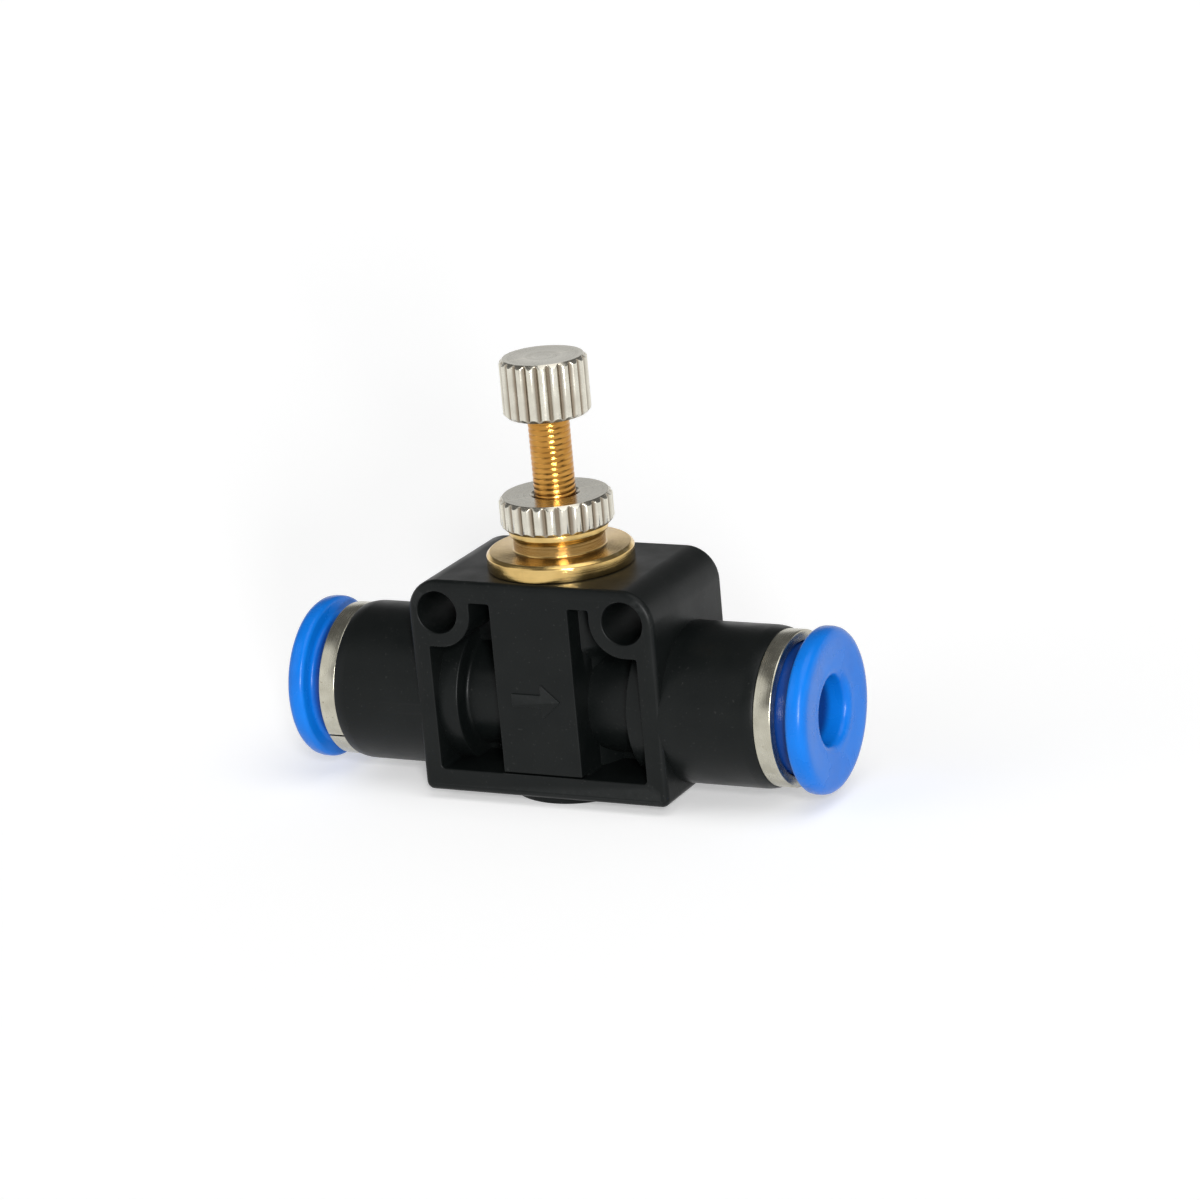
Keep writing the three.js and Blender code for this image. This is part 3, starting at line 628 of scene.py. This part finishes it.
def finish_piece(mesh, name, material, body, slot, *nodes):
    """Shades a mesh, gives it its material, and puts it on its body in place of its CAD nodes."""
    mesh.materials.clear()
    mesh.materials.append(material)
    mesh.polygons.foreach_set("use_smooth", [True] * len(mesh.polygons))
    mesh.set_sharp_from_angle(angle=SMOOTH_BELOW)
    piece = bpy.data.objects.new(name, mesh)
    bpy.context.scene.collection.objects.link(piece)
    even = piece.modifiers.new("even_shading", "WEIGHTED_NORMAL")
    even.keep_sharp = True
    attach(piece, body)
    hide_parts(*nodes)


def join(target, others, operation):
    """The target mesh with every other mesh added to it, taken from it or kept in common."""
    scene = bpy.context.scene
    base = bpy.data.objects.new("base", target)
    scene.collection.objects.link(base)
    group = bpy.data.collections.new("cutters")
    scene.collection.children.link(group)
    for mesh in others:
        group.objects.link(bpy.data.objects.new("cutter", mesh))
    cut = base.modifiers.new("cut", "BOOLEAN")
    cut.operation = operation
    cut.solver = "EXACT"
    cut.operand_type = "COLLECTION"
    cut.collection = group
    ready = base.evaluated_get(bpy.context.evaluated_depsgraph_get())
    result = bpy.data.meshes.new_from_object(ready)
    for thing in list(group.objects):
        bpy.data.objects.remove(thing)
    bpy.data.collections.remove(group)
    bpy.data.objects.remove(base)
    return result


def rounded_corners(corners):
    """Corners (x, z, rounding) as points, with each rounding drawn as an arc."""
    points = []
    for i, (x, z, size) in enumerate(corners):
        here = Vector((x, z))
        if not size:
            points.append(here)
            continue
        before = (Vector(corners[i - 1][:2]) - here).normalized()
        after = (Vector(corners[(i + 1) % len(corners)][:2]) - here).normalized()
        half = before.angle(after) / 2
        middle = here + (before + after).normalized() * size / math.sin(half)
        start = here + before * size / math.tan(half)
        sweep = math.pi - 2 * half
        turn_way = 1 if before.cross(after) < 0 else -1
        steps = max(2, round(sweep / math.radians(9)))
        for k in range(steps + 1):
            arm = start - middle
            arm.rotate(Matrix.Rotation(turn_way * sweep * k / steps, 2))
            points.append(middle + arm)
    return points


def around(x, z, radius, angle):
    return Vector((x + radius * math.cos(angle), z + radius * math.sin(angle)))


def circle(x, z, radius):
    return [around(x, z, radius, math.tau * i / HOLE_STEPS) for i in range(HOLE_STEPS)]


def slab(outlines, low, high, edge):
    """Outlines in the XZ plane, the first solid and the rest holes, from low to high along Y."""
    curve = bpy.data.curves.new("slab", "CURVE")
    curve.dimensions = "2D"
    curve.fill_mode = "BOTH"
    curve.extrude = (high - low) / 2 - edge
    curve.bevel_depth = edge
    curve.bevel_resolution = ROUND_STEPS - 1
    curve.offset = -edge
    for outline in outlines:
        spline = curve.splines.new("POLY")
        spline.points.add(len(outline) - 1)
        for point, place in zip(spline.points, outline):
            point.co = (place.x, place.y, 0, 1)
        spline.use_cyclic_u = True
    holder = bpy.data.objects.new("slab", curve)
    bpy.context.scene.collection.objects.link(holder)
    ready = holder.evaluated_get(bpy.context.evaluated_depsgraph_get())
    bm = bmesh.new()
    flat = bpy.data.meshes.new_from_object(ready)
    bm.from_mesh(flat)
    bpy.data.objects.remove(holder)
    bpy.data.curves.remove(curve)
    bpy.data.meshes.remove(flat)
    bmesh.ops.remove_doubles(bm, verts=bm.verts[:], dist=WELD)
    upright = shift(0, (low + high) / 2, 0) @ Matrix.Rotation(math.pi / 2, 4, "X")
    bmesh.ops.transform(bm, matrix=upright, verts=bm.verts[:])
    bmesh.ops.recalc_face_normals(bm, faces=bm.faces[:])
    return bm


def brick(low, high):
    bm = bmesh.new()
    bmesh.ops.create_cube(bm, size=1)
    size = Vector(high) - Vector(low)
    place = Matrix.Translation((Vector(low) + Vector(high)) / 2) @ Matrix.Diagonal((*size, 1))
    bmesh.ops.transform(bm, matrix=place, verts=bm.verts[:])
    return bm


# ---------- body ----------
def pocket_outline(side):
    """One pocket beside the pad, cut round by the hole's boss in its top corner."""
    corners = rounded_corners([
        (HOLE_X - BOSS_RADIUS, HOLE_Z, 0), (HOLE_X - BOSS_RADIUS, POCKET_ROOF, 0.12),
        (PAD_HALF, POCKET_ROOF, 0.15), (PAD_HALF, POCKET_FLOOR, 0.15),
        (POCKET_HALF, POCKET_FLOOR, 0.25), (POCKET_HALF, HOLE_Z - BOSS_RADIUS, 0.12),
        (HOLE_X, HOLE_Z - BOSS_RADIUS, 0),
    ])
    boss = [around(HOLE_X, HOLE_Z, BOSS_RADIUS, math.radians(-90 - 90 * i / BOSS_STEPS))
            for i in range(1, BOSS_STEPS)]
    return [Vector((side * p.x, p.y)) for p in corners + boss]


def pierced_block():
    """The block, pierced by a pocket on each side of the pad and by two screw holes."""
    outer = rounded_corners([
        (BLOCK_HALF, -BLOCK_BELOW, BOTTOM_CORNER), (BLOCK_HALF, ROOF, TOP_CORNER),
        (-BLOCK_HALF, ROOF, TOP_CORNER), (-BLOCK_HALF, -BLOCK_BELOW, BOTTOM_CORNER),
    ])
    reach, foot, top = BLOCK_HALF + PAST, -BLOCK_BELOW - PAST, ROOF + PAST
    wide = [Vector(p) for p in ((reach, foot), (reach, top), (-reach, top), (-reach, foot))]
    openings = [pocket_outline(1), pocket_outline(-1),
                circle(HOLE_X, HOLE_Z, HOLE_RADIUS), circle(-HOLE_X, HOLE_Z, HOLE_RADIUS)]
    half = PORT_RADIUS
    block = to_mesh(slab([outer], -half, half, OUTER_EDGE), "block")
    pierced = to_mesh(slab([wide, *openings], -half, half, INNER_EDGE), "pierced")
    return join(block, [pierced], "INTERSECT")


def body_solids():
    """What is moulded onto the block. Each solid runs some tenths on into the block's walls."""
    barrel = [
        (0, -BLOCK_HALF + 0.5), (BARREL_RADIUS, -BLOCK_HALF + 0.5),
        (BARREL_RADIUS, -BARREL_START, 0.12), (INNER_BARREL_RADIUS, -BARREL_START, 0.25),
        (INNER_BARREL_RADIUS, BARREL_START, 0.25), (BARREL_RADIUS, BARREL_START, 0.12),
        (BARREL_RADIUS, BLOCK_HALF - 0.5), (0, BLOCK_HALF - 0.5),
    ]
    port = PORT_RADIUS - 0.02
    tube_end = [
        (0, POCKET_HALF + 0.4), (port, POCKET_HALF + 0.4), (port, PORT_REACH - 0.42, 0.4),
        (BAND_RADIUS + 0.03, PORT_REACH, 0.05), (0, PORT_REACH),
    ]
    tower = [
        (0, POCKET_FLOOR - 0.6), (TOWER_WAIST, POCKET_FLOOR - 0.6),
        (TOWER_WAIST, BONNET_SHOULDER - 1.4, 0.15), (TOWER_RADIUS, BONNET_SHOULDER - 0.5, 0.15),
        (TOWER_RADIUS, POCKET_ROOF + 0.6), (0, POCKET_ROOF + 0.6),
    ]
    foot = [
        (0, -AXIS_HEIGHT), (FOOT_RADIUS, -AXIS_HEIGHT, 0.15),
        (FOOT_RADIUS, 0.5 - BLOCK_BELOW), (0, 0.5 - BLOCK_BELOW),
    ]
    web = brick((-POCKET_HALF - 0.3, -WEB_HALF, POCKET_FLOOR - 0.3),
                (POCKET_HALF + 0.3, WEB_HALF, HOLE_Z - HOLE_RADIUS - 0.1))
    upper_web = brick((-UPPER_WEB_REACH, -WEB_HALF + 0.01, 0),
                      (UPPER_WEB_REACH, WEB_HALF - 0.01, POCKET_ROOF + 0.3))
    return [
        to_mesh(turn(barrel), "barrel", RIGHTWARD),
        to_mesh(turn(tube_end), "tube_end", RIGHTWARD),
        to_mesh(turn(tube_end), "tube_end", LEFTWARD),
        to_mesh(turn(tower), "tower"),
        to_mesh(turn(foot), "foot"),
        to_mesh(web, "web"),
        to_mesh(upper_web, "upper_web"),
    ]


def body_hollows():
    """What is cut from the body: the bonnet's bore, both tube bores and the groove under the pad."""
    chamber = [
        (0, CHAMBER_FLOOR), (CHAMBER_RADIUS, CHAMBER_FLOOR), (CHAMBER_RADIUS, BONNET_SHOULDER),
        (BONNET_BORE, BONNET_SHOULDER), (BONNET_BORE, ROOF + PAST), (0, ROOF + PAST),
    ]
    seal_end = SEAL_START - 0.02
    socket = [
        (0, TUBE_STOP), (TUBE_BORE, TUBE_STOP), (TUBE_BORE, seal_end), (SEAL_POCKET, seal_end),
        (SEAL_POCKET, SPACER_START), (SHELL_BORE, SPACER_START),
        (SHELL_BORE, PORT_REACH + PAST), (0, PORT_REACH + PAST),
    ]
    passage_end = TUBE_STOP + 0.5
    passage = [(0, 0), (PASSAGE_RADIUS, 0), (PASSAGE_RADIUS, passage_end), (0, passage_end)]
    side, top = PAD_HALF + 0.1, POCKET_FLOOR + PAD_GROOVE
    groove = [Vector(p) for p in
              ((side, POCKET_FLOOR), (side, top), (-side, top), (-side, POCKET_FLOOR))]
    face = -PORT_RADIUS
    return [
        to_mesh(turn(chamber), "chamber"),
        to_mesh(turn(socket), "socket", RIGHTWARD),
        to_mesh(turn(socket), "socket", LEFTWARD),
        to_mesh(turn(passage, SMALL_STEPS), "passage", shift(0, 0, PASSAGE_OFFSET) @ RIGHTWARD),
        to_mesh(turn(passage, SMALL_STEPS), "passage", shift(0, 0, -PASSAGE_OFFSET) @ LEFTWARD),
        to_mesh(slab([groove], face - PAST, face + PAD_GROOVE_DEPTH, 0.01), "pad_groove"),
    ]


def body_moulding():
    block = join(pierced_block(), body_solids(), "UNION")
    block = join(block, body_hollows(), "DIFFERENCE")
    clean = bmesh.new()
    clean.from_mesh(block)
    bmesh.ops.dissolve_degenerate(clean, edges=clean.edges[:], dist=SLIVER)
    clean.to_mesh(block)
    clean.free()
    finish_piece(block, "body_moulding", BLACK, "housing", "body_plastic", "valve_body")


def flow_arrow():
    """A plain raised arrow on the pad, pointing the way that air is metered."""
    tip, neck, tail, shaft, head, level = 1.65, 0.35, -1.65, 0.42, 1.15, 1.1
    arrow = rounded_corners([
        (tail, level - shaft, 0.08), (neck, level - shaft, 0.05), (neck, level - head, 0.08),
        (tip, level, 0.08), (neck, level + head, 0.08), (neck, level + shaft, 0.05),
        (tail, level + shaft, 0.08),
    ])
    raised, sunk, edge = 0.08, 0.1, 0.04
    mesh = to_mesh(slab([arrow], -PORT_RADIUS - raised, -PORT_RADIUS + sunk, edge), "flow_arrow")
    finish_piece(mesh, "flow_arrow", BLACK, "housing", "body_plastic")


# ---------- bonnet, nut, knob and needle ----------
def ring_groove(outer, floor, middle, edge, inner_edge):
    """The corners of an O-ring's groove, from its lower mouth to its upper one."""
    low, high = middle - O_RING_HALF, middle + O_RING_HALF
    return [(outer, low, edge), (floor, low, inner_edge), (floor, high, inner_edge), (outer, high, edge)]


def bonnet_turning():
    skirt, plug, step = CHAMBER_RADIUS - 0.05, BONNET_BORE - 0.05, BONNET_SHOULDER + 0.05
    profile = [
        (CYLINDER_RADIUS, BONNET_LOW, 0.08), (skirt, BONNET_LOW, 0.08), (skirt, step),
        (plug, step, 0.1),
        *ring_groove(plug, CHAMBER_RADIUS, (BONNET_RING_LOW + BONNET_RING_HIGH) / 2, 0.05, 0.05),
        (plug, ROOF), (FLANGE_RADIUS, ROOF, 0.08),
        (FLANGE_RADIUS, FLANGE_TOP - FLANGE_CHAMFER, 0.05),
        (FLANGE_RADIUS - FLANGE_CHAMFER, FLANGE_TOP, 0.05),
        (NECK_WAIST, FLANGE_TOP, 0.12), (NECK_WAIST, NUT_LOW - NECK_SLOPE, 0.1),
        (NECK_RADIUS, NUT_LOW - NECK_LIP, 0.06), (NECK_RADIUS, NUT_LOW, 0.08),
        (STEM_BORE, NUT_LOW, 0.1), (STEM_BORE, CYLINDER_TOP), (CYLINDER_RADIUS, CYLINDER_TOP, 0.05),
    ]
    mesh = to_mesh(turn(profile), "bonnet")
    finish_piece(mesh, "bonnet_turning", BRASS, "housing", "brass", "bonnet")


def knurled(radius, height, ridges, inner):
    """A wheel from height 0 up, with ridges whose ends run out into chamfered rims.

    inner lists the rings (radius, height) that carry on from the top rim.
    """
    cut = [RIM_CHAMFER * i / RIM_STEPS for i in range(RIM_STEPS + 1)]
    outer = [(radius - RIM_CHAMFER + c, c) for c in cut]
    outer += [(radius - c, height - RIM_CHAMFER + c) for c in cut]
    bm = bmesh.new()
    bmesh.ops.create_circle(bm, cap_ends=False, radius=radius, segments=ridges * RIDGE_STEPS)
    ring = bm.edges[:]
    levels = outer + inner
    rings = [(bm.verts[:], levels[0], True)]
    for k, level in enumerate(levels[1:], 1):
        grown = bmesh.ops.extrude_edge_only(bm, edges=ring)["geom"]
        verts = [v for v in grown if isinstance(v, bmesh.types.BMVert)]
        rings.append((verts, level, k < len(outer)))
        # only the new ring's own edges carry on
        fresh = set(verts)
        ring = [e for e in grown if isinstance(e, bmesh.types.BMEdge) and fresh.issuperset(e.verts)]
    for verts, (limit, lift), ridged in rings:
        for v in verts:
            angle = math.atan2(v.co.y, v.co.x)
            crest = radius - RIDGE_DEPTH * math.sin(ridges * angle / 2) ** 4
            reach = min(crest, limit) if ridged else limit
            v.co = (reach * math.cos(angle), reach * math.sin(angle), lift)
    return weld(bm)


def nut_wheel():
    height = NUT_HIGH - NUT_LOW
    start = NUT_RADIUS - RIM_CHAMFER
    # the upper face, its countersink, the bore, its lower countersink and the lower face
    bm = knurled(NUT_RADIUS, height, NUT_RIDGES, [
        (start - 0.5, height), (STEM_BORE + 0.22, height - 0.01),
        (STEM_BORE + 0.04, height - 0.2), (STEM_BORE, height - 0.26),
        (STEM_BORE, 0.2), (STEM_BORE + 0.2, 0), (start - 0.5, 0), (start, 0),
    ])
    mesh = to_mesh(bm, "lock_nut", shift(0, 0, NUT_LOW))
    finish_piece(mesh, "nut_wheel", NUT_NICKEL, "locking_nut", "nickel", "lock_nut")


def knob_wheel():
    height = KNOB_HIGH - KNOB_LOW
    start = KNOB_RADIUS - RIM_CHAMFER
    bm = knurled(KNOB_RADIUS, height, KNOB_RIDGES, [
        (start - 0.3, height), (0.6, height - 0.015), (0, height - 0.02),
    ])
    end, socket, mouth = NEEDLE_END - KNOB_LOW + 0.05, SPIGOT_RADIUS + 0.05, STEM_RADIUS + 0.05
    under = [
        (0, end), (socket, end), (socket, KNOB_RECESS), (mouth, KNOB_RECESS), (mouth, 0), (start, 0),
    ]
    add_shape(bm, turn(under, KNOB_RIDGES * RIDGE_STEPS))
    # the two meet round the lower rim
    mesh = to_mesh(weld(bm, 10 * WELD), "adjusting_knob", shift(0, 0, KNOB_LOW))
    finish_piece(mesh, "knob_wheel", KNOB_NICKEL, "needle", "nickel", "adjusting_knob")


def thread(low, high, radius):
    """A right-hand thread: one V wound up the axis, its turns joined and its ends cut square."""
    bm = bmesh.new()
    root, land, steps = radius - THREAD_DEPTH, THREAD_LAND / 2, SMALL_STEPS
    start = low - THREAD_PITCH * 1.5
    turns = math.ceil((high - start) / THREAD_PITCH) + 1
    section = [(root, 0), (radius, THREAD_PITCH / 2 - land),
               (radius, THREAD_PITCH / 2 + land), (root, THREAD_PITCH)]
    verts = [bm.verts.new((r, 0, start + h)) for r, h in section]
    for a, b in zip(verts, verts[1:]):
        bm.edges.new((a, b))
    bmesh.ops.spin(bm, geom=bm.verts[:] + bm.edges[:], cent=(0, 0, 0), axis=(0, 0, 1),
                   dvec=(0, 0, THREAD_PITCH / steps), angle=math.tau * turns, steps=steps * turns)
    bmesh.ops.remove_doubles(bm, verts=bm.verts[:], dist=WELD)
    for level, way in ((low, -1), (high, 1)):
        bmesh.ops.bisect_plane(bm, geom=bm.verts[:] + bm.edges[:] + bm.faces[:], dist=1e-5,
                               plane_co=(0, 0, level), plane_no=(0, 0, way), clear_outer=True)
    bmesh.ops.holes_fill(bm, edges=[e for e in bm.edges if e.is_boundary], sides=0)
    bmesh.ops.recalc_face_normals(bm, faces=bm.faces[:])
    return bm


def needle_threaded():
    """The needle from its tip up: taper, shank, piston with its ring groove, thread and spigot."""
    tip, shank, groove = 0.2, 0.74, 1.05
    taper_top = NEEDLE_TIP + 2.3
    piston_low, piston_high = SEAT_SLEEVE_TOP + 3.2, SEAT_SLEEVE_TOP + 4.8
    middle = (STEM_RING_LOW + STEM_RING_HIGH) / 2
    shoulder = KNOB_LOW + KNOB_RECESS
    core = STEM_RADIUS - THREAD_DEPTH
    plain = turn([
        (0, NEEDLE_TIP), (tip, NEEDLE_TIP, 0.06), (shank, taper_top), (shank, piston_low),
        (PISTON_RADIUS, piston_low, 0.08),
        *ring_groove(PISTON_RADIUS, groove, middle, 0.04, 0.06),
        (PISTON_RADIUS, piston_high, 0.08), (core, piston_high, 0.05),
        (core, piston_high + 0.6), (0, piston_high + 0.6),
    ], NEEDLE_STEPS)
    spigot = turn([
        (0, shoulder - 0.3), (SPIGOT_RADIUS, shoulder - 0.3),
        (SPIGOT_RADIUS, NEEDLE_END, 0.1), (0, NEEDLE_END),
    ], NEEDLE_STEPS)
    # the plain parts run on inside the thread's ends
    bm = thread(piston_high + 0.4, shoulder, STEM_RADIUS)
    add_shape(bm, plain)
    add_shape(bm, spigot)
    mesh = to_mesh(bm, "needle")
    finish_piece(mesh, "needle_threaded", STEM_BRASS, "needle", "stem_brass", "needle_stem")


# ---------- tube ends ----------
def release_ring(side):
    """The ring's sleeve with the barb that holds it in, its neck, and the flange with a dished face."""
    neck, sleeve, barb, bore = 4.1, 2.9, 3.3, TUBE_BORE
    back, face, step = RELEASE_FACE - RING_FLANGE, RELEASE_FACE - RING_DISH, GUIDE_END + 1.0
    profile = [
        (bore, SLEEVE_START, 0.1), (sleeve, SLEEVE_START, 0.1), (sleeve, SLEEVE_START + 0.3),
        (barb, SLEEVE_START + 0.3, 0.06), (barb, SLEEVE_START + 0.6, 0.06),
        (sleeve, SLEEVE_START + 0.6), (sleeve, step, 0.05), (neck, step, 0.1),
        (neck, back, 0.28), (RELEASE_RADIUS, back, 0.3), (RELEASE_RADIUS, RELEASE_FACE, 0.6),
        (RELEASE_RADIUS - 0.95, RELEASE_FACE, 0.2), (bore + 0.85, face, 0.2), (bore, face, 0.5),
    ]
    mesh = to_mesh(turn(profile), "release_ring", ENDS[side])
    finish_piece(mesh, f"{side}_ring_moulding", BLUE, f"{side}_release", "blue_plastic",
                 f"{side}_release_ring")


def collar_band(side):
    """A plated ring pressed into the tube end, with a seam where its strip meets."""
    bore = 4.15
    bm = bmesh.new()
    wire(bm, [
        (bore, BAND_START, 0.04), (CARTRIDGE_RADIUS, BAND_START, 0.06),
        (CARTRIDGE_RADIUS, PORT_REACH), (BAND_RADIUS, PORT_REACH, 0.05),
        (BAND_RADIUS, BAND_END, 0.12), (bore, BAND_END, 0.08),
    ], closed=True)
    face = bmesh.ops.contextual_create(bm, geom=bm.edges[:])["faces"]
    gap = SEAM_WIDTH / BAND_RADIUS
    bmesh.ops.rotate(bm, cent=(0, 0, 0), matrix=Matrix.Rotation(gap / 2, 3, "Z"), verts=bm.verts[:])
    bmesh.ops.spin(bm, geom=bm.verts[:] + bm.edges[:] + face, cent=(0, 0, 0), axis=(0, 0, 1),
                   angle=math.tau - gap, steps=TURNED_STEPS)
    bmesh.ops.recalc_face_normals(bm, faces=bm.faces[:])
    # this brings the left seam to the panel side and the right one to the back
    lower = Matrix.Rotation(math.radians(90 - SEAM_BELOW), 4, "Z")
    mesh = to_mesh(bm, "collar_band", ENDS[side] @ lower)
    finish_piece(mesh, f"{side}_band_ring", BAND_NICKEL, "housing", "nickel", f"{side}_collar_band")


def claw_guide(side):
    relief, bore, lip, nose = 3.4, 3.0, GUIDE_END - 0.3, 4.1
    collar = GUIDE_START + 0.9
    profile = [
        (relief, GUIDE_START, 0.05), (CARTRIDGE_RADIUS, GUIDE_START, 0.08),
        (CARTRIDGE_RADIUS, collar, 0.05), (nose, collar, 0.04), (nose, GUIDE_END, 0.08),
        (bore, GUIDE_END, 0.1), (bore, lip, 0.05), (relief, lip, 0.04),
    ]
    mesh = to_mesh(turn(profile, GUIDE_STEPS), "claw_guide", ENDS[side])
    finish_piece(mesh, f"{side}_guide_turning", TUBE_BRASS, "housing", "brass", f"{side}_claw_guide")


# ---------- the whole valve ----------
set_camera()
light_room()
lay_floor()

body_moulding()
flow_arrow()
bonnet_turning()
nut_wheel()
knob_wheel()
needle_threaded()
for side in ENDS:
    release_ring(side)
    collar_band(side)
    claw_guide(side)

# these stay the CAD's own solids, with a finer surface
carried_over = {
    RUBBER: ["bonnet_o_ring", "stem_o_ring", "check_seal", "left_tube_seal", "right_tube_seal"],
    STEEL: ["left_lock_claw", "right_lock_claw"],
    TUBE_BRASS: ["left_claw_spacer", "right_claw_spacer"],
    BRASS: ["seat_sleeve"],
}
for material, nodes in carried_over.items():
    for name in nodes:
        for slot in frame["nodes"][name].material_slots:
            slot.material = material

bpy.context.scene.view_settings.view_transform = "Standard"
